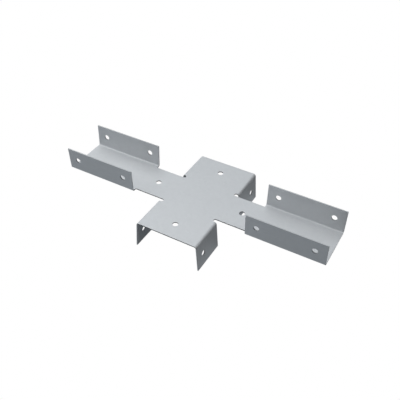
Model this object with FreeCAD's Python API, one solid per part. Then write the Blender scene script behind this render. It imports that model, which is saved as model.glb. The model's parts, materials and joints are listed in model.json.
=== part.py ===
import FreeCAD, Part
import math
import os

# Fence bracket, punched and folded from one cross-shaped blank of galvanised sheet.
# The long arm runs along X. Each of its ends is a channel, open upwards, that holds a rail.
# The cross arm runs along Y. Its flanges are folded down, astride a timber that runs along Y.
# The origin is the middle of the underside, where the bracket sits on that timber.
# Lengths are in millimetres and angles in degrees.

# Sheet
sheet_thickness = 1.6
inner_bend_radius = 2.4

# Long arm: the channel's width is inside its flanges, and its height is from the underside of
# the sheet. The neck's length is from the saddle's outer face to the inner end of the channel.
channel_length = 111.5
channel_width = 66.8
channel_height = 36.0
channel_splay = 2.2
neck_length = 41.9
neck_width = 56.5

# Cross arm: the saddle's length is that of one flange, its width is inside the flanges, and its
# depth is from the top of the sheet to a flange's lower edge
saddle_length = 54.35
saddle_width = 90.0
saddle_depth = 42.4
saddle_splay = 4.2
corner_relief_diameter = 5.2

# Holes: each distance is from a hole's centre to the edge named
bolt_hole_diameter = 8.0
hole_to_flange_end = 16.0
channel_hole_to_upper_edge = 16.4
saddle_hole_to_lower_edge = 19.3
arm_hole_to_arm_end = 24.0

# Places that follow from the sizes above
outer_bend_radius = inner_bend_radius + sheet_thickness
channel_bend_y = channel_width / 2 - inner_bend_radius
saddle_bend_x = saddle_width / 2 - inner_bend_radius
saddle_outer_x = saddle_bend_x + outer_bend_radius
channel_inner_x = saddle_outer_x + neck_length
half_length = channel_inner_x + channel_length
neck_edge_y = neck_width / 2
saddle_inner_y = neck_edge_y + corner_relief_diameter
half_span = saddle_inner_y + saddle_length
neck_hole_x = (saddle_outer_x + channel_inner_x) / 2
arm_hole_y = half_span - arm_hole_to_arm_end

origin = FreeCAD.Vector(0, 0, 0)
x_axis = FreeCAD.Vector(1, 0, 0)
y_axis = FreeCAD.Vector(0, 1, 0)
z_axis = FreeCAD.Vector(0, 0, 1)
mid_sheet = z_axis * (sheet_thickness / 2)


def line(start, end):
    """Straight edge."""
    return Part.LineSegment(start, end).toShape()


def arc(start, middle, end):
    """Round edge through three points."""
    return Part.Arc(start, middle, end).toShape()


def drill(centre, direction):
    """Cylinder that cuts one bolt hole, from a point midway through the sheet."""
    start = centre - direction * sheet_thickness
    return Part.makeCylinder(bolt_hole_diameter / 2, 2 * sheet_thickness, start, direction)


def plate_quarter():
    """Flat sheet between the bend lines, in the quarter where x and y are positive.

    The corner relief is a half circle on the cross arm's bend line. It keeps the down-folded
    flange clear of the neck by its own diameter.
    """
    relief_radius = corner_relief_diameter / 2
    corners = [
        (0, 0),
        (half_length, 0),
        (half_length, channel_bend_y),
        (channel_inner_x, channel_bend_y),
        (channel_inner_x, neck_edge_y),
        (saddle_bend_x, neck_edge_y),
    ]
    long_arm = [FreeCAD.Vector(x, y, 0) for x, y in corners]
    relief_middle = FreeCAD.Vector(saddle_bend_x - relief_radius, neck_edge_y + relief_radius, 0)
    relief_end = FreeCAD.Vector(saddle_bend_x, saddle_inner_y, 0)
    arm_corner = FreeCAD.Vector(saddle_bend_x, half_span, 0)
    arm_end_middle = FreeCAD.Vector(0, half_span, 0)
    edges = [line(start, end) for start, end in zip(long_arm, long_arm[1:])]
    edges.append(arc(long_arm[-1], relief_middle, relief_end))
    edges.append(line(relief_end, arm_corner))
    edges.append(line(arm_corner, arm_end_middle))
    edges.append(line(arm_end_middle, origin))
    return Part.Face(Part.Wire(edges)).extrude(z_axis * sheet_thickness)


def flange(length, height, splay, hole_places, hole_to_free_edge):
    """Flange folded up off a bend line that lies along X, with its middle at the origin.

    The flat sheet comes to the bend line from -Y, with its underside at z = 0. The flange
    leans away from it by the splay. Its free edge is cut square to the sheet, and the higher
    corner of that edge is at the height. The hole places are along X.
    """
    turn = math.radians(90 - splay)
    bend_centre = z_axis * outer_bend_radius
    uphill = FreeCAD.Vector(0, math.cos(turn), math.sin(turn))
    outward = FreeCAD.Vector(0, math.sin(turn), -math.cos(turn))

    def bend_point(radius, angle):
        return bend_centre + FreeCAD.Vector(0, math.sin(angle), -math.cos(angle)) * radius

    inner = [bend_point(inner_bend_radius, turn * share) for share in (0, 0.5, 1)]
    outer = [bend_point(outer_bend_radius, turn * share) for share in (0, 0.5, 1)]
    straight = uphill * ((height - inner[2].z) / uphill.z)
    inner_corner = inner[2] + straight
    outer_corner = outer[2] + straight
    section = Part.Wire([
        arc(*inner),
        line(inner[2], inner_corner),
        line(inner_corner, outer_corner),
        line(outer_corner, outer[2]),
        arc(*reversed(outer)),
        line(outer[0], inner[0]),
    ])
    folded = Part.Face(section).extrude(x_axis * length)
    folded.translate(x_axis * (-length / 2))
    hole_line = (inner_corner + outer_corner) / 2 - uphill * hole_to_free_edge
    for place in hole_places:
        folded = folded.cut(drill(hole_line + x_axis * place, outward))
    return folded


def channel_flange():
    """Upright flange of the channel, in the quarter where x and y are positive."""
    hole_place = channel_length / 2 - hole_to_flange_end
    hole_places = (-hole_place, hole_place)
    height = channel_height
    folded = flange(channel_length, height, channel_splay, hole_places, channel_hole_to_upper_edge)
    folded.translate(FreeCAD.Vector(half_length - channel_length / 2, channel_bend_y, 0))
    return folded


def saddle_flange():
    """Down-folded flange of the cross arm, in the quarter where x and y are positive."""
    hole_places = (hole_to_flange_end - saddle_length / 2,)
    folded = flange(saddle_length, saddle_depth, saddle_splay, hole_places, saddle_hole_to_lower_edge)
    # A quarter turn points the flange along X, and the mirror image about mid-sheet points down
    folded.rotate(origin, z_axis, -90)
    folded = folded.mirror(mid_sheet, z_axis)
    folded.translate(FreeCAD.Vector(saddle_bend_x, half_span - saddle_length / 2, 0))
    return folded


def in_all_quarters(shape):
    """The shape of one quarter and its mirror images in the other three."""
    pair = [shape, shape.mirror(origin, x_axis)]
    return pair + [each.mirror(origin, y_axis) for each in pair]


def bracket():
    """The whole folded sheet, as one solid."""
    quarter = plate_quarter().fuse([channel_flange(), saddle_flange()])
    first, *others = in_all_quarters(quarter)
    sheet = first.fuse(others).removeSplitter()
    for side in (-1, 1):
        sheet = sheet.cut(drill(mid_sheet + x_axis * side * neck_hole_x, z_axis))
        sheet = sheet.cut(drill(mid_sheet + y_axis * side * arm_hole_y, z_axis))
    return sheet.Solids[0]


os.makedirs("parts", exist_ok=True)
bracket().exportStep("parts/bracket.step")
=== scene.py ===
# %% [markdown]
# # A cross-shaped fence bracket
#
# This lesson dresses one part: a fence bracket, punched flat and folded from a single sheet of
# galvanised steel. Its long arm ends in two channels that hold rails. Its cross arm has four
# flanges folded down, astride a timber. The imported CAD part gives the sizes, and Blender gives
# the sheet its rounded edges, its zinc surface, its light and its camera.

# %% Load the frame
import bpy
import json
import math
from mathutils import Matrix, Vector


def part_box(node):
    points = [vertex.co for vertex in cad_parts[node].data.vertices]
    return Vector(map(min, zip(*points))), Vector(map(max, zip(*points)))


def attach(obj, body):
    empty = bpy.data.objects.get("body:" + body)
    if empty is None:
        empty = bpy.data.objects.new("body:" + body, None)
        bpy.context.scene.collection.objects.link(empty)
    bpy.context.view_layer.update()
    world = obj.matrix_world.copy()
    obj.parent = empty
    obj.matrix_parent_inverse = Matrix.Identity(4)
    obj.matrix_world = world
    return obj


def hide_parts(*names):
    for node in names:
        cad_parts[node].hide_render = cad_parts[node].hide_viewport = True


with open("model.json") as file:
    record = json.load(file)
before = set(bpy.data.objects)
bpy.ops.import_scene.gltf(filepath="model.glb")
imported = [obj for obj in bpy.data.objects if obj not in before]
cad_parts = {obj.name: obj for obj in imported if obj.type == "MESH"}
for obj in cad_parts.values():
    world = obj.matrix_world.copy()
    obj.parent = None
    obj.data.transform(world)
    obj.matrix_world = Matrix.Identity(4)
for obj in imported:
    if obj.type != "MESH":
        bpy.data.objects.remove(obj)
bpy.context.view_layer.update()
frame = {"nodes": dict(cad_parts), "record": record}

print("nodes in the frame:", sorted(frame["nodes"]))

# %% [markdown]
# ## Sizes
#
# A folded part is set out from its flat blank, so the sizes wanted here are those of the blank.
# Most of them follow from the frame: the box gives the reach of each arm, and each hole's mount
# gives a place on its flange and the way the flange leans. Only three sizes have no mount to
# measure, so they are named here. Everything is in metres, and angles are in radians.

# %% Sizes from the frame
millimetre = 0.001
mounts = {mount["name"]: mount for mount in frame["record"]["mounts"]}
channel_hole = mounts["right_channel_back_outer_hole"]
inner_channel_hole = mounts["right_channel_back_inner_hole"]
saddle_hole = mounts["back_saddle_right_hole"]

inner_bend_radius = 2.4 * millimetre
neck_width = 56.5 * millimetre
corner_relief_diameter = 5.2 * millimetre

sheet = channel_hole["dims"]["length_mm"] * millimetre
hole_radius = channel_hole["dims"]["r_mm"] * millimetre
outer_bend_radius = inner_bend_radius + sheet
neutral_radius = inner_bend_radius + sheet / 2

low_corner, high_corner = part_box("bracket")
half_length = high_corner.x
half_span = high_corner.y
channel_middle_x = mounts["right_channel_floor"]["pos_m"][0]
channel_length = 2 * (half_length - channel_middle_x)
channel_inner_x = half_length - channel_length
neck_edge_y = neck_width / 2
saddle_inner_y = neck_edge_y + corner_relief_diameter
saddle_length = half_span - saddle_inner_y
saddle_middle_y = (half_span + saddle_inner_y) / 2
print(f"sheet {sheet / millimetre:.2f} mm, holes {2 * hole_radius / millimetre:.1f} mm across")

# %% [markdown]
# ## Unfolding
#
# A bend stretches the sheet outside and squeezes it inside, but the middle of its thickness keeps
# its length. So a place on a folded flange goes back to the flat blank by laying out that middle
# line: first the arc round the bend, then the straight flange. Each fold stops a little short of
# square, and the mount's axis says by how much, because the holes were punched square to the
# sheet.

# %% Unfold each kind of flange
def unfold(height, turn, radius):
    """How far past its bend line, in the flat, lies a point that ends up at this height.

    The radius is the point's own radius round the bend, and the height is from the sheet's outer
    face.
    """
    straight = (height - outer_bend_radius + radius * math.cos(turn)) / math.sin(turn)
    return neutral_radius * turn + straight


def bend_line_of(hole_reach, hole_flat, turn):
    """The bend line's distance from the middle, worked back from where a folded hole lies."""
    straight = hole_flat - neutral_radius * turn
    return hole_reach - neutral_radius * math.sin(turn) - straight * math.cos(turn)


channel_turn = math.pi / 2 + math.asin(channel_hole["axis"][2])
channel_hole_flat = unfold(channel_hole["pos_m"][2], channel_turn, neutral_radius)
channel_bend_y = bend_line_of(channel_hole["pos_m"][1], channel_hole_flat, channel_turn)
channel_flange = unfold(high_corner.z, channel_turn, inner_bend_radius)

saddle_turn = math.pi / 2 - math.asin(saddle_hole["axis"][2])
saddle_hole_flat = unfold(sheet - saddle_hole["pos_m"][2], saddle_turn, neutral_radius)
saddle_bend_x = bend_line_of(saddle_hole["pos_m"][0], saddle_hole_flat, saddle_turn)
saddle_flange = unfold(sheet - low_corner.z, saddle_turn, inner_bend_radius)

print(f"channel: bend line at y = {channel_bend_y / millimetre:.2f} mm, turned by "
      f"{math.degrees(channel_turn):.1f} degrees")
print(f"saddle: bend line at x = {saddle_bend_x / millimetre:.2f} mm, turned by "
      f"{math.degrees(saddle_turn):.1f} degrees")
print(f"the flat saddle flange clears the channel flange by "
      f"{(channel_inner_x - saddle_bend_x - saddle_flange) / millimetre:.2f} mm")

# %% [markdown]
# ## Setting out the blank
#
# A sheet-metal worker scribes the outline and a centre mark for each hole. The sketch below holds
# the same: one closed loop of edges for the flat middle of the sheet, and one loose point for each
# hole. The outline is drawn once, for the quarter where x and y are positive, and mirrored into
# the other three. Only the four corner reliefs are curved.

# %% Draw the sketch
relief_steps = 16


def quarter_outline():
    """Points from the end of the channel to the end of the cross arm."""
    relief_radius = corner_relief_diameter / 2
    relief_y = neck_edge_y + relief_radius
    turns = [math.pi * step / relief_steps for step in range(relief_steps + 1)]
    relief = [
        (saddle_bend_x - relief_radius * math.sin(turn), relief_y - relief_radius * math.cos(turn))
        for turn in turns
    ]
    return [
        (half_length, channel_bend_y),
        (channel_inner_x, channel_bend_y),
        (channel_inner_x, neck_edge_y),
        *relief,
        (saddle_bend_x, half_span),
    ]


def whole_outline():
    """The quarter and its mirror images, in order round the plate."""
    quarter = quarter_outline()
    half = quarter + [(-x, y) for x, y in reversed(quarter)]
    return half + [(-x, -y) for x, y in half]


def hole_places():
    """The middle of every hole in the flat."""
    channel_y = channel_bend_y + channel_hole_flat
    saddle_x = saddle_bend_x + saddle_hole_flat
    corners = [
        (channel_hole["pos_m"][0], channel_y),
        (inner_channel_hole["pos_m"][0], channel_y),
        (saddle_x, saddle_hole["pos_m"][1]),
    ]
    neck_x = mounts["neck_holes"]["dims"]["spacing_x_mm"] * millimetre / 2
    arm_y = mounts["arm_holes"]["dims"]["spacing_y_mm"] * millimetre / 2
    places = [(right * x, back * y) for x, y in corners for right in (-1, 1) for back in (-1, 1)]
    return places + [(-neck_x, 0), (neck_x, 0), (0, -arm_y), (0, arm_y)]


outline = whole_outline()
marks = hole_places()
sketch_mesh = bpy.data.meshes.new("blank_sketch")
sketch_mesh.from_pydata(
    [(x, y, 0) for x, y in outline + marks],
    [(point, (point + 1) % len(outline)) for point in range(len(outline))],
    [],
)
sketch = bpy.data.objects.new("blank_sketch", sketch_mesh)
bpy.context.scene.collection.objects.link(sketch)
print(f"outline of {len(outline)} points, {len(marks)} hole marks")

# %% [markdown]
# ## Helpers for node trees
#
# Geometry Nodes, materials and the world are all trees of nodes. Three short helpers keep the
# cells below readable: one starts a tree with named inputs, one adds a node and feeds its sockets,
# and one does a sum.

# %% Helpers for node trees
def new_tree(name, inputs, outputs):
    """A Geometry Nodes tree, with the sockets that its inputs give and its outputs take."""
    tree = bpy.data.node_groups.new(name, "GeometryNodeTree")
    for in_out, sockets in (("INPUT", inputs), ("OUTPUT", outputs)):
        for socket, kind in sockets.items():
            tree.interface.new_socket(socket, in_out=in_out, socket_type="NodeSocket" + kind)
    return tree, tree.nodes.new("NodeGroupInput").outputs, tree.nodes.new("NodeGroupOutput").inputs


def add_node(tree, kind, feeds=None, **choices):
    """A new node. Feeds go into its sockets by name or number: each is a value or a link."""
    node = tree.nodes.new(kind)
    for name, choice in choices.items():
        setattr(node, name, choice)
    for socket, feed in (feeds or {}).items():
        if isinstance(feed, bpy.types.NodeSocket):
            tree.links.new(feed, node.inputs[socket])
        else:
            node.inputs[socket].default_value = feed
    return node


def reckon(tree, operation, *feeds):
    """The result of one sum."""
    return add_node(tree, "ShaderNodeMath", dict(enumerate(feeds)), operation=operation).outputs[0]


print("helpers ready: new_tree, add_node, reckon")

# %% [markdown]
# ## The bend rule
#
# A press brake folds a flange round a nose of fixed radius. The rule is the same for every flange:
# the distance past the bend line, laid along the middle of the sheet, becomes an angle round the
# bend, and what is left over goes straight on. A simple deform modifier could bend a grid too, but
# it bends everything between its limits, while this small tree bends exactly what it is given,
# and its numbers are the real ones.

# %% Build the bend rule
def build_bend_rule():
    tree, given, result = new_tree(
        "bend_rule",
        {"Past Bend Line": "Float", "Height": "Float", "Inner Radius": "Float", "Sheet": "Float",
         "Turn": "Float"},
        {"Distance": "Float", "Height": "Float"},
    )
    outer = reckon(tree, "ADD", given["Inner Radius"], given["Sheet"])
    neutral = reckon(tree, "MULTIPLY_ADD", given["Sheet"], 0.5, given["Inner Radius"])
    swept = reckon(tree, "DIVIDE", given["Past Bend Line"], neutral)
    angle = reckon(tree, "MINIMUM", reckon(tree, "MAXIMUM", swept, 0.0), given["Turn"])
    arc_length = reckon(tree, "MULTIPLY", neutral, given["Turn"])
    left_over = reckon(tree, "SUBTRACT", given["Past Bend Line"], arc_length)
    straight = reckon(tree, "MAXIMUM", left_over, 0.0)
    radius = reckon(tree, "SUBTRACT", outer, given["Height"])
    sine = reckon(tree, "SINE", angle)
    cosine = reckon(tree, "COSINE", angle)
    along = reckon(tree, "MULTIPLY", straight, cosine)
    up = reckon(tree, "MULTIPLY_ADD", straight, sine, outer)
    drop = reckon(tree, "MULTIPLY", radius, cosine)
    tree.links.new(reckon(tree, "MULTIPLY_ADD", radius, sine, along), result["Distance"])
    tree.links.new(reckon(tree, "SUBTRACT", up, drop), result["Height"])
    return tree


bend_rule = build_bend_rule()
print(f"bend rule made of {len(bend_rule.nodes)} nodes")

# %% [markdown]
# ## Sizes of the blank
#
# A Geometry Nodes tree can take its sizes as named inputs, like the dimensions on a drawing. The
# same tree then punches a longer or a wider bracket. The sizes of the flat blank are gathered here
# under those names. In the flat, a bend is as wide as the middle line of its arc is long.

# %% Gather the sizes of the blank
blank_sizes = {
    "Hole Radius": hole_radius,
    "Channel Length": channel_length,
    "Channel Middle": channel_middle_x,
    "Channel Bend Line": channel_bend_y,
    "Channel Bend Width": neutral_radius * channel_turn,
    "Channel Flange": channel_flange,
    "Saddle Length": saddle_length,
    "Saddle Middle": saddle_middle_y,
    "Saddle Bend Line": saddle_bend_x,
    "Saddle Bend Width": neutral_radius * saddle_turn,
    "Saddle Flange": saddle_flange,
}
for name, size in blank_sizes.items():
    print(f"{name}: {size / millimetre:.2f} mm")

# %% [markdown]
# ## Flanges in the flat
#
# The flanges are plain rectangles, so they need no sketch. One of each kind is copied to the four
# quarters of the blank, and so is the strip of narrow faces that each bend will curve. The copies
# are instances on the corners of a grid, so that a flange is described once and a change reaches
# all four.

# %% Lay out the flanges
bend_steps = 14


def four_copies(tree, piece, x, y):
    """The piece in each of the four quarters of the blank, with its middle at x and y."""
    width = reckon(tree, "MULTIPLY", x, 2.0)
    depth = reckon(tree, "MULTIPLY", y, 2.0)
    corners = add_node(tree, "GeometryNodeMeshGrid", {
        "Size X": width, "Size Y": depth, "Vertices X": 2, "Vertices Y": 2,
    })
    copies = add_node(tree, "GeometryNodeInstanceOnPoints", {
        "Points": corners.outputs["Mesh"], "Instance": piece,
    })
    return add_node(tree, "GeometryNodeRealizeInstances", {
        "Geometry": copies.outputs["Instances"],
    }).outputs["Geometry"]


def halfway(tree, first, second):
    """The number midway between two."""
    return reckon(tree, "MULTIPLY", reckon(tree, "ADD", first, second), 0.5)


def flange_pieces(tree, given, kind, along_x):
    """The outlines of four flat flanges, and the four strips that join them to the plate."""
    length = given[f"{kind} Length"]
    middle = given[f"{kind} Middle"]
    bend_line = given[f"{kind} Bend Line"]
    bend_width = given[f"{kind} Bend Width"]
    free_edge = reckon(tree, "ADD", bend_line, given[f"{kind} Flange"])
    bend_end = reckon(tree, "ADD", bend_line, bend_width)
    depth = reckon(tree, "SUBTRACT", free_edge, bend_end)
    flange_middle = halfway(tree, free_edge, bend_end)
    strip_middle = halfway(tree, bend_line, bend_end)
    flat_sizes = (length, depth) if along_x else (depth, length)
    strip_sizes = (length, bend_width) if along_x else (bend_width, length)
    strip_points = (2, bend_steps + 1) if along_x else (bend_steps + 1, 2)
    rectangle = add_node(tree, "GeometryNodeCurvePrimitiveQuadrilateral", {
        "Width": flat_sizes[0], "Height": flat_sizes[1],
    })
    strip = add_node(tree, "GeometryNodeMeshGrid", {
        "Size X": strip_sizes[0], "Size Y": strip_sizes[1],
        "Vertices X": strip_points[0], "Vertices Y": strip_points[1],
    })
    flange_place = (middle, flange_middle) if along_x else (flange_middle, middle)
    strip_place = (middle, strip_middle) if along_x else (strip_middle, middle)
    return (four_copies(tree, rectangle.outputs["Curve"], *flange_place),
            four_copies(tree, strip.outputs["Mesh"], *strip_place))


print(f"helper ready: flange_pieces, with {bend_steps} narrow faces for each bend")

# %% [markdown]
# ## Punching the blank
#
# The holes are one circle, instanced on the loose points of the sketch. Fill Curve turns every
# closed line into sheet and leaves out what lies inside an inner line, which is what a punch does.
# Cutting each hole with a boolean would give the same, but one fill is quicker and leaves cleaner
# faces. Merging by distance then welds plate, strips and flanges into one blank.

# %% Build the punching tree
hole_steps = 64
weld_distance = 0.001 * millimetre


def join(tree, *pieces):
    """Several geometries as one."""
    node = add_node(tree, "GeometryNodeJoinGeometry")
    for piece in pieces:
        tree.links.new(piece, node.inputs["Geometry"])
    return node.outputs["Geometry"]


def is_hole_mark(tree):
    """Picks the loose points of the sketch, which have no neighbours."""
    neighbours = add_node(tree, "GeometryNodeInputMeshVertexNeighbors")
    return reckon(tree, "LESS_THAN", neighbours.outputs["Vertex Count"], 1)


def build_punching():
    tree, given, result = new_tree(
        "punched_blank",
        {"Sketch": "Geometry", **{size: "Float" for size in blank_sizes}},
        {"Blank": "Geometry"},
    )
    plate = add_node(tree, "GeometryNodeMeshToCurve", {"Mesh": given["Sketch"]})
    circle = add_node(tree, "GeometryNodeCurvePrimitiveCircle", {
        "Resolution": hole_steps, "Radius": given["Hole Radius"],
    })
    holes = add_node(tree, "GeometryNodeInstanceOnPoints", {
        "Points": given["Sketch"], "Selection": is_hole_mark(tree),
        "Instance": circle.outputs["Curve"],
    })
    channel_outlines, channel_strips = flange_pieces(tree, given, "Channel", along_x=True)
    saddle_outlines, saddle_strips = flange_pieces(tree, given, "Saddle", along_x=False)
    outlines = join(tree, plate.outputs["Curve"], holes.outputs["Instances"], channel_outlines,
                    saddle_outlines)
    real_outlines = add_node(tree, "GeometryNodeRealizeInstances", {"Geometry": outlines})
    filled = add_node(tree, "GeometryNodeFillCurve", {
        "Curve": real_outlines.outputs["Geometry"],
    }, mode="NGONS")
    pieces = join(tree, filled.outputs["Mesh"], channel_strips, saddle_strips)
    welded = add_node(tree, "GeometryNodeMergeByDistance", {
        "Geometry": pieces, "Distance": weld_distance,
    })
    tree.links.new(welded.outputs["Geometry"], result["Blank"])
    return tree


punching = build_punching()
print(f"punching tree made of {len(punching.nodes)} nodes")

# %% [markdown]
# ## Thickness and cut edges
#
# The blank is extruded to the sheet's thickness and closed underneath with a flipped copy of
# itself. The cut edges are marked, because they are bare steel. So are those that the punch made,
# which get a darker steel than the sheared edges of the flanges, partly for their torn walls and
# partly as painted shade on the hole walls and plate edges: they lie by a line or a hole mark of
# the sketch. A mark is a number stored on each face, which is simpler than a second material and
# lets one edge pass softly into the other.

# %% Thicken the blank
def mark_faces(tree, mesh, name, share):
    """Stores a number from 0 to 1 on each face, under a name that the finish can read."""
    return add_node(tree, "GeometryNodeStoreNamedAttribute", {
        "Geometry": mesh, "Name": name, "Value": share,
    }, data_type="FLOAT", domain="FACE").outputs["Geometry"]


def distance_to(tree, target, element):
    """How far each face is from the target's nearest point or edge."""
    return add_node(tree, "GeometryNodeProximity", {"Geometry": target},
                    target_element=element).outputs["Distance"]


def by_the_sketch(tree, given):
    """1 by the sketch's lines and round its hole marks, and less and less along the bends."""
    marks = add_node(tree, "GeometryNodeSeparateGeometry", {
        "Geometry": given["Sketch"], "Selection": is_hole_mark(tree),
    })
    hole_reach = reckon(tree, "ADD", given["Hole Radius"], given["Sheet"])
    mark_distance = distance_to(tree, marks.outputs["Selection"], "POINTS")
    by_mark = reckon(tree, "LESS_THAN", mark_distance, hole_reach)
    by_line = add_node(tree, "ShaderNodeMapRange", {
        "Value": distance_to(tree, given["Sketch"], "EDGES"), "From Min": given["Sheet"],
        "From Max": given["Channel Bend Width"], "To Min": 1.0, "To Max": 0.0,
    }).outputs["Result"]
    return reckon(tree, "MAXIMUM", by_mark, by_line)


def thicken(tree, blank, given):
    """The blank as a closed sheet, with its cut and its punched edges marked."""
    offset = add_node(tree, "ShaderNodeCombineXYZ", {"Z": given["Sheet"]})
    raised = add_node(tree, "GeometryNodeExtrudeMesh", {
        "Mesh": blank, "Offset": offset.outputs["Vector"], "Offset Scale": 1.0, "Individual": False,
    })
    cut = mark_faces(tree, raised.outputs["Mesh"], "cut_edge", raised.outputs["Side"])
    # the punched edges' mark, for a darker steel that is partly torn wall and partly painted shade
    punched = mark_faces(tree, cut, "punched_edge_with_painted_shade",
                         reckon(tree, "MULTIPLY", raised.outputs["Side"], by_the_sketch(tree, given)))
    underside = add_node(tree, "GeometryNodeFlipFaces", {"Mesh": blank})
    closed = join(tree, punched, underside.outputs["Mesh"])
    return add_node(tree, "GeometryNodeMergeByDistance", {
        "Geometry": closed, "Distance": weld_distance,
    }).outputs["Geometry"]


print("helper ready: thicken, which marks the faces cut_edge and punched_edge_with_painted_shade")

# %% [markdown]
# ## Folds
#
# The bend rule folds the channel flanges up and the saddle flanges down: down is up, seen from the
# other face of the sheet. One set of nodes serves both kinds, with the two axes swapped. Each fold
# moves only the points of its own kind of flange: those past its bend line, before its free edge
# and beyond its inner end.

# %% Fold one kind of flange
fold_sizes = {
    "Sheet": sheet,
    "Inner Bend Radius": inner_bend_radius,
    "Channel Inner End": channel_inner_x,
    "Channel Turn": channel_turn,
    "Saddle Inner End": saddle_inner_y,
    "Saddle Turn": saddle_turn,
}


def flange_points(tree, given, kind, along, past):
    """Picks the points of one kind of flange, by how far along and how far past its line they are."""
    inner_end = reckon(tree, "SUBTRACT", given[f"{kind} Inner End"], weld_distance)
    beyond_end = reckon(tree, "GREATER_THAN", reckon(tree, "ABSOLUTE", along), inner_end)
    past_line = reckon(tree, "GREATER_THAN", past, 0.0)
    free_edge = reckon(tree, "ADD", given[f"{kind} Flange"], weld_distance)
    before_edge = reckon(tree, "LESS_THAN", past, free_edge)
    return reckon(tree, "MULTIPLY", reckon(tree, "MULTIPLY", beyond_end, past_line), before_edge)


def fold(tree, sheet_so_far, given, kind, along_x, upwards):
    """Folds one kind of flange, on both sides of the bracket."""
    place = add_node(tree, "GeometryNodeInputPosition").outputs["Position"]
    axes = add_node(tree, "ShaderNodeSeparateXYZ", {"Vector": place}).outputs
    along, across = (axes["X"], axes["Y"]) if along_x else (axes["Y"], axes["X"])
    reach = reckon(tree, "ABSOLUTE", across)
    past = reckon(tree, "SUBTRACT", reach, given[f"{kind} Bend Line"])
    height = axes["Z"] if upwards else reckon(tree, "SUBTRACT", given["Sheet"], axes["Z"])
    bent = add_node(tree, "GeometryNodeGroup", node_tree=bend_rule)
    for socket, feed in {"Past Bend Line": past, "Height": height, "Sheet": given["Sheet"],
                         "Inner Radius": given["Inner Bend Radius"],
                         "Turn": given[f"{kind} Turn"]}.items():
        tree.links.new(feed, bent.inputs[socket])
    new_reach = reckon(tree, "ADD", given[f"{kind} Bend Line"], bent.outputs["Distance"])
    new_across = reckon(tree, "MULTIPLY", new_reach, reckon(tree, "SIGN", across))
    new_height = bent.outputs["Height"]
    if not upwards:
        new_height = reckon(tree, "SUBTRACT", given["Sheet"], new_height)
    x, y = (along, new_across) if along_x else (new_across, along)
    folded_place = add_node(tree, "ShaderNodeCombineXYZ", {"X": x, "Y": y, "Z": new_height})
    return add_node(tree, "GeometryNodeSetPosition", {
        "Geometry": sheet_so_far,
        "Selection": flange_points(tree, given, kind, along, past),
        "Position": folded_place.outputs["Vector"],
    }).outputs["Geometry"]


print(f"helper ready: fold, up by {math.degrees(channel_turn):.1f} degrees "
      f"and down by {math.degrees(saddle_turn):.1f}")

# %% [markdown]
# ## From sketch to bracket
#
# The last tree puts the steps in a workshop's order: punch, thicken, fold up, fold down. Before
# the folds, each point keeps its flat place in an attribute, so that the zinc's pattern later runs
# round the bends as it does on the real sheet.

# %% Build the folding tree
def build_folding(finish):
    tree, given, result = new_tree(
        "folded_sheet",
        {"Sketch": "Geometry", **{size: "Float" for size in {**blank_sizes, **fold_sizes}}},
        {"Sheet": "Geometry"},
    )
    punched = add_node(tree, "GeometryNodeGroup", node_tree=punching)
    for socket in ["Sketch", *blank_sizes]:
        tree.links.new(given[socket], punched.inputs[socket])
    solid = thicken(tree, punched.outputs["Blank"], given)
    flat_place = add_node(tree, "GeometryNodeInputPosition").outputs["Position"]
    remembered = add_node(tree, "GeometryNodeStoreNamedAttribute", {
        "Geometry": solid, "Name": "flat_place", "Value": flat_place,
    }, data_type="FLOAT_VECTOR", domain="POINT").outputs["Geometry"]
    channels = fold(tree, remembered, given, "Channel", along_x=True, upwards=True)
    saddle = fold(tree, channels, given, "Saddle", along_x=False, upwards=False)
    smooth = add_node(tree, "GeometryNodeSetShadeSmooth", {"Geometry": saddle})
    real = add_node(tree, "GeometryNodeRealizeInstances", {"Geometry": smooth.outputs["Geometry"]})
    finished = add_node(tree, "GeometryNodeSetMaterial", {
        "Geometry": real.outputs["Geometry"], "Material": finish,
    })
    tree.links.new(finished.outputs["Geometry"], result["Sheet"])
    return tree


print("folding tree takes", len({**blank_sizes, **fold_sizes}), "named sizes")

# %% [markdown]
# ## Galvanised steel
#
# Sheet for brackets like this one is dipped in molten zinc before it is punched. The zinc freezes
# in flat crystals called spangle. On sheet with a small spangle they are a few millimetres across
# and hardly differ, so the surface reads as one satin grey with a faint mottle. A Voronoi texture
# draws the crystals, each with its own tone and sheen, and noise makes their borders wavy. Broad
# clouds and fine grain are noise too. All of it is laid out on the flat blank, through the place
# stored before folding, so it runs round the bends without a seam.
#
# Cut edges are bare steel, darker and rougher than the zinc, with fine lines across the thickness.
# Sheared and punched edges differ only in colour: a punched one is the darker, partly because most
# of its wall is torn and partly as painted shade on the hole walls and plate edges.

# %% Choose the finish
spangle_size = 4.5 * millimetre
cloud_size = 50 * millimetre
grain_size = 0.8 * millimetre
grain_height = 0.004 * millimetre
shear_line_width = 0.3 * millimetre
shear_line_height = 0.02 * millimetre
shear_line_stretch = 10
noise_detail = 3.0

bright_zinc = (0.71, 0.722, 0.735, 1)
dull_zinc = (0.67, 0.682, 0.695, 1)
sheared_steel = (0.60, 0.615, 0.625, 1)
# darker steel for punched edges: partly a torn wall, partly painted shade on hole walls and plate
# edges
punched_steel_with_painted_shade = (0.21, 0.216, 0.222, 1)
cloud_share_of_tone = 0.6

zinc_metallic = 0.6
zinc_roughness = 0.48
cloud_roughness = 0.08
spangle_roughness = 0.07
cut_roughness = 0.12
print(f"roughness of zinc from {zinc_roughness} to "
      f"{zinc_roughness + cloud_roughness + spangle_roughness:.2f}")

# %% [markdown]
# ## Patterns of the finish
#
# Each pattern is a short chain of texture nodes that takes a place on the flat sheet and gives
# numbers from 0 to 1. Stretching the place before the noise turns its blobs into lines: the
# shear lines run the way that the punch moved.

# %% Make the patterns
def soft_noise(tree, place, size):
    """Soft random values from 0 to 1, in patches of about this size."""
    return add_node(tree, "ShaderNodeTexNoise", {
        "Vector": place, "Scale": 1 / size, "Detail": noise_detail,
    }).outputs["Fac"]


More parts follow.
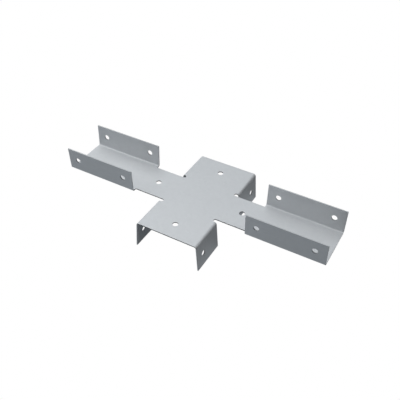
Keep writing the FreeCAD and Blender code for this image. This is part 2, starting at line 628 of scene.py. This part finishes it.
def spangle(tree, place):
    """A random tone and a random sheen for each zinc crystal, both from 0 to 1."""
    border_wave = spangle_size / 2
    waves = add_node(tree, "ShaderNodeTexNoise", {"Vector": place, "Scale": 1 / border_wave})
    wavy_place = add_node(tree, "ShaderNodeVectorMath", {
        0: waves.outputs["Color"], 1: (border_wave, border_wave, border_wave), 2: place,
    }, operation="MULTIPLY_ADD")
    crystals = add_node(tree, "ShaderNodeTexVoronoi", {
        "Vector": wavy_place.outputs["Vector"], "Scale": 1 / spangle_size,
    })
    random_values = add_node(tree, "ShaderNodeSeparateColor", {"Color": crystals.outputs["Color"]})
    return random_values.outputs["Red"], random_values.outputs["Green"]


def shear_lines(tree, place):
    """Random lines that run across the thickness of a cut edge."""
    stretched = add_node(tree, "ShaderNodeVectorMath", {
        0: place, 1: (1, 1, 1 / shear_line_stretch),
    }, operation="MULTIPLY")
    return soft_noise(tree, stretched.outputs["Vector"], shear_line_width)


print("patterns ready: soft_noise, spangle, shear_lines")

# %% [markdown]
# ## Mixing the finish
#
# The patterns now meet in one shader. The marks on the faces choose between zinc and steel, and
# the bump gives the zinc its fine grain and the cut edges their lines. Metal of one kind all over
# needs no node for its metallic value, which is set on the shader itself. A Mix node has several
# sockets of the same name, one for each kind of value, so those for colours are given by number.

# %% Make the finish
mix_share_socket = 0
mix_first_socket = 6
mix_second_socket = 7
mix_result_socket = 2


def blend(tree, share, first, second):
    """From the first colour at a share of 0 to the second at 1."""
    mix = add_node(tree, "ShaderNodeMix", {
        mix_share_socket: share, mix_first_socket: first, mix_second_socket: second,
    }, data_type="RGBA")
    return mix.outputs[mix_result_socket]


def stored(tree, name):
    """What the folding tree stored under this name."""
    return add_node(tree, "ShaderNodeAttribute", attribute_name=name).outputs


def build_finish():
    finish = bpy.data.materials.new("zinc_coated_steel")
    finish.use_nodes = True
    tree = finish.node_tree
    shader = tree.nodes["Principled BSDF"]
    shader.inputs["Metallic"].default_value = zinc_metallic
    place = stored(tree, "flat_place")["Vector"]
    cut = stored(tree, "cut_edge")["Fac"]
    # where the darker steel goes, which is partly painted shade
    punched = stored(tree, "punched_edge_with_painted_shade")["Fac"]
    tone, sheen = spangle(tree, place)
    cloud = soft_noise(tree, place, cloud_size)
    grain = soft_noise(tree, place, grain_size)

    cloud_tone = reckon(tree, "MULTIPLY", cloud, cloud_share_of_tone)
    zinc_tone = reckon(tree, "MULTIPLY_ADD", tone, 1 - cloud_share_of_tone, cloud_tone)
    zinc = blend(tree, zinc_tone, dull_zinc, bright_zinc)
    # punched edges take the darker steel, partly torn wall and partly painted shade
    steel = blend(tree, punched, sheared_steel, punched_steel_with_painted_shade)
    tree.links.new(blend(tree, cut, zinc, steel), shader.inputs["Base Color"])

    cloudy = reckon(tree, "MULTIPLY_ADD", cloud, cloud_roughness, zinc_roughness)
    spangled = reckon(tree, "MULTIPLY_ADD", sheen, spangle_roughness, cloudy)
    roughness = reckon(tree, "MULTIPLY_ADD", cut, cut_roughness, spangled)
    tree.links.new(roughness, shader.inputs["Roughness"])

    line_height = reckon(tree, "MULTIPLY", shear_lines(tree, place), shear_line_height)
    edge_height = reckon(tree, "MULTIPLY", cut, line_height)
    height = reckon(tree, "MULTIPLY_ADD", grain, grain_height, edge_height)
    bump = add_node(tree, "ShaderNodeBump", {"Height": height, "Distance": 1.0, "Strength": 1.0})
    tree.links.new(bump.outputs["Normal"], shader.inputs["Normal"])
    return finish


zinc_coated_steel = build_finish()
print("finish:", zinc_coated_steel.name)

# %% [markdown]
# ## Folding
#
# Now the trees run. The modifier takes each size by the name it was given, so the sheet can be
# tried at other sizes before it is made plain. A real punched sheet has no razor edges: they are
# a little round, which is what catches the light along every edge. The bevel adds that rounding,
# and the weighted normals keep the broad faces flat.

# %% Fold the sheet
edge_rounding = 0.15 * millimetre
rounding_steps = 2
sharp_angle = math.radians(50)


def set_sizes(modifier, tree, sizes):
    """Gives each named size to the modifier, by the identifier of its socket."""
    sockets = {item.name: item.identifier for item in tree.interface.items_tree
               if item.in_out == "INPUT"}
    for name, size in sizes.items():
        modifier[sockets[name]] = size


def plain_copy(source, name):
    """What the object's modifiers make of it, as a new object with a plain mesh."""
    view = bpy.context.evaluated_depsgraph_get()
    mesh = bpy.data.meshes.new_from_object(source.evaluated_get(view))
    mesh.name = name
    copy = bpy.data.objects.new(name, mesh)
    bpy.context.scene.collection.objects.link(copy)
    return copy


folding = build_folding(zinc_coated_steel)
fold_modifier = sketch.modifiers.new("fold", "NODES")
fold_modifier.node_group = folding
set_sizes(fold_modifier, folding, {**blank_sizes, **fold_sizes})

rounding = sketch.modifiers.new("rounded_edges", "BEVEL")
rounding.width = edge_rounding
rounding.segments = rounding_steps
rounding.limit_method = "ANGLE"
rounding.angle_limit = sharp_angle
sketch.modifiers.new("shading", "WEIGHTED_NORMAL")

folded_sheet = plain_copy(sketch, "folded_sheet")
bpy.data.objects.remove(sketch)
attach(folded_sheet, "root")
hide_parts("bracket")
print(f"folded sheet: {len(folded_sheet.data.polygons)} faces")

# %% [markdown]
# ## Floor and backdrop
#
# Small metal parts are often shown on a white table so bright that it loses its shadows. The stage
# here is one big box, open at the top, and its walls keep the background white when the camera
# looks along the floor. It glows at exactly white and reflects nothing, because a stage brighter
# than white would eat into the part's thin edges. So large a glow would also flatten the folds, so
# the metal doesn't see it: the lamps and the light from the table are set by themselves below.

# %% Build the stage
stage_size = 12.0
stage_height = 6.0
stage_glow = 1.0
black = (0, 0, 0, 1)
white = (1, 1, 1, 1)


def open_box(name, size, bottom, height):
    """A level square with a wall along each side, and its middle over the origin."""
    reach = size / 2
    square = [(-reach, -reach), (reach, -reach), (reach, reach), (-reach, reach)]
    corners = [(x, y, z) for z in (bottom, bottom + height) for x, y in square]
    count = len(square)
    walls = []
    for side in range(count):
        next_side = (side + 1) % count
        walls.append((next_side, side, side + count, next_side + count))
    mesh = bpy.data.meshes.new(name)
    mesh.from_pydata(corners, [], [tuple(range(count)), *walls])
    box = bpy.data.objects.new(name, mesh)
    bpy.context.scene.collection.objects.link(box)
    return box


def glowing_white():
    paint = bpy.data.materials.new("glowing_white")
    paint.use_nodes = True
    sockets = paint.node_tree.nodes["Principled BSDF"].inputs
    sockets["Base Color"].default_value = black
    sockets["Specular IOR Level"].default_value = 0
    sockets["Emission Color"].default_value = white
    sockets["Emission Strength"].default_value = stage_glow
    return paint


stage = open_box("stage", stage_size, low_corner.z, stage_height)
stage.data.materials.append(glowing_white())
stage.visible_diffuse = False
stage.visible_glossy = False
stage.visible_shadow = False
print(f"floor at z = {low_corner.z / millimetre:.1f} mm")

# %% [markdown]
# ## Light tent
#
# A folded sheet reads by its folds, so the light has to fall off quickly round each bend. Small
# metal parts are often shot in a tent of white cloth. Here the world stands in for it, and its
# brightness depends only on the direction: it glows on the left and is nearly dark on the right.
# It is a touch bluer than the lamps, as daylight is.

# %% Build the light tent
tent_azimuth = math.radians(-104)
tent_fade = (-0.45, 0.0)
tent_dark = 0.038
tent_bright = 0.38
tent_colour = (0.925, 1.0, 1.07, 1)


def direction_of(azimuth, elevation):
    """Unit vector away from the part. An azimuth of 0 is the front, a quarter turn the right."""
    return Vector((
        math.sin(azimuth) * math.cos(elevation),
        -math.cos(azimuth) * math.cos(elevation),
        math.sin(elevation),
    ))


def build_tent():
    world = bpy.data.worlds.new("light_tent")
    world.use_nodes = True
    tree = world.node_tree
    bright_side = direction_of(tent_azimuth, 0)
    direction = add_node(tree, "ShaderNodeTexCoord").outputs["Generated"]
    towards = add_node(tree, "ShaderNodeVectorMath", {0: direction, 1: bright_side},
                       operation="DOT_PRODUCT").outputs["Value"]
    brightness = add_node(tree, "ShaderNodeMapRange", {
        "Value": towards, "From Min": tent_fade[0], "From Max": tent_fade[1],
        "To Min": tent_dark, "To Max": tent_bright,
    }, interpolation_type="SMOOTHSTEP").outputs["Result"]
    tree.links.new(brightness, tree.nodes["Background"].inputs["Strength"])
    tree.nodes["Background"].inputs["Color"].default_value = tent_colour
    return world


bpy.context.scene.world = build_tent()
print("tent from", tent_dark, "to", tent_bright)

# %% [markdown]
# ## Lamps
#
# Three wide lamps hang in the tent. The left one shines along the channels, and the two high ones
# light the level plate. A flange that faces right sees only the high right one, and at a slant, so
# it turns dark at its fold. A wide lamp gives a soft light, and a sun lamp in its place would give
# the holes and flanges hard shadows.

# %% Hang the lamps
lamp_colour = (0.995, 1.0, 0.995)
lamp_distance = 3.2


def new_area_light(name, shape, colour, power):
    """A flat light in the scene, still to be given its size and its place."""
    light_data = bpy.data.lights.new(name, "AREA")
    light_data.shape = shape
    light_data.energy = power
    light_data.color = colour
    light = bpy.data.objects.new(name, light_data)
    bpy.context.scene.collection.objects.link(light)
    return light


def hang_lamp(name, azimuth, elevation, diameter, power):
    """A soft round lamp that points at the part. The angles are in degrees."""
    lamp = new_area_light(name, "DISK", lamp_colour, power)
    lamp.data.size = diameter
    towards_lamp = direction_of(math.radians(azimuth), math.radians(elevation))
    lamp.location = towards_lamp * lamp_distance
    lamp.rotation_euler = towards_lamp.to_track_quat("Z", "Y").to_euler()
    return lamp


lamps = [
    hang_lamp("left_lamp", azimuth=-78, elevation=30, diameter=2.4, power=31.5),
    hang_lamp("high_left_lamp", azimuth=-115, elevation=62, diameter=3.4, power=29),
    hang_lamp("high_right_lamp", azimuth=84, elevation=56, diameter=2.0, power=32.5),
]
print("lamps:", ", ".join(lamp.name for lamp in lamps))

# %% [markdown]
# ## Light from the table
#
# A white table throws light up at the flanges that are folded down, so they get lighter towards
# it. The stage gives the metal no light, so two low lights stand in for the part of the table
# that counts: each lies on the floor from the foot of a right-hand flange to below the end of the
# channel. Their brightness was matched to the photograph, where the back flange is a little lighter
# than the front one. The camera doesn't see either light.

# %% Light the right-hand saddle flanges from below
table_light_height = 0.5 * millimetre
saddle_straight = saddle_flange - neutral_radius * saddle_turn
saddle_foot_x = (saddle_bend_x + outer_bend_radius * math.sin(saddle_turn)
                 + saddle_straight * math.cos(saddle_turn))


def lay_table_light(name, side, brightness):
    """A flat light that shines up, at the front of the saddle for a side of -1, the back for 1.

    The brightness is on the stage's own scale, where 1 is white.
    """
    width = channel_inner_x - saddle_foot_x
    power = brightness * math.pi * width * saddle_length
    light = new_area_light(name, "RECTANGLE", tent_colour[:3], power)
    light.data.size = width
    light.data.size_y = saddle_length
    light.location = (saddle_foot_x + width / 2, side * saddle_middle_y,
                      low_corner.z + table_light_height)
    light.rotation_euler = (math.pi, 0, 0)
    light.visible_camera = False


lay_table_light("front_table_light", side=-1, brightness=0.125)
lay_table_light("back_table_light", side=1, brightness=0.175)
print(f"table lights start {saddle_foot_x / millimetre:.1f} mm to the right of the middle")

# %% [markdown]
# ## Camera
#
# The photograph looks down on the bracket from the front right, with a normal lens. The angles,
# the distance and the lens were found by matching the bracket's edges and holes to it. Blender
# takes the lens and the sensor in millimetres, as they are on a real camera.

# %% Place the camera
camera_azimuth = math.radians(29.548)
camera_elevation = math.radians(40.590)
camera_roll = math.radians(0.362)
camera_distance = 801.7 * millimetre
camera_target = Vector((3.0, -2.8, 0.0)) * millimetre
focal_length = 51.37
sensor_width = 36.0

camera_data = bpy.data.cameras.new("camera")
camera_data.lens = focal_length
camera_data.sensor_width = sensor_width
towards_camera = direction_of(camera_azimuth, camera_elevation)
camera = bpy.data.objects.new("camera", camera_data)
camera.matrix_world = (
    Matrix.Translation(camera_target + camera_distance * towards_camera)
    @ towards_camera.to_track_quat("Z", "Y").to_matrix().to_4x4()
    @ Matrix.Rotation(camera_roll, 4, "Z")
)
bpy.context.scene.collection.objects.link(camera)
bpy.context.scene.camera = camera
bpy.context.scene.view_settings.view_transform = "Standard"
print("camera at", [round(v, 3) for v in camera.matrix_world.translation])
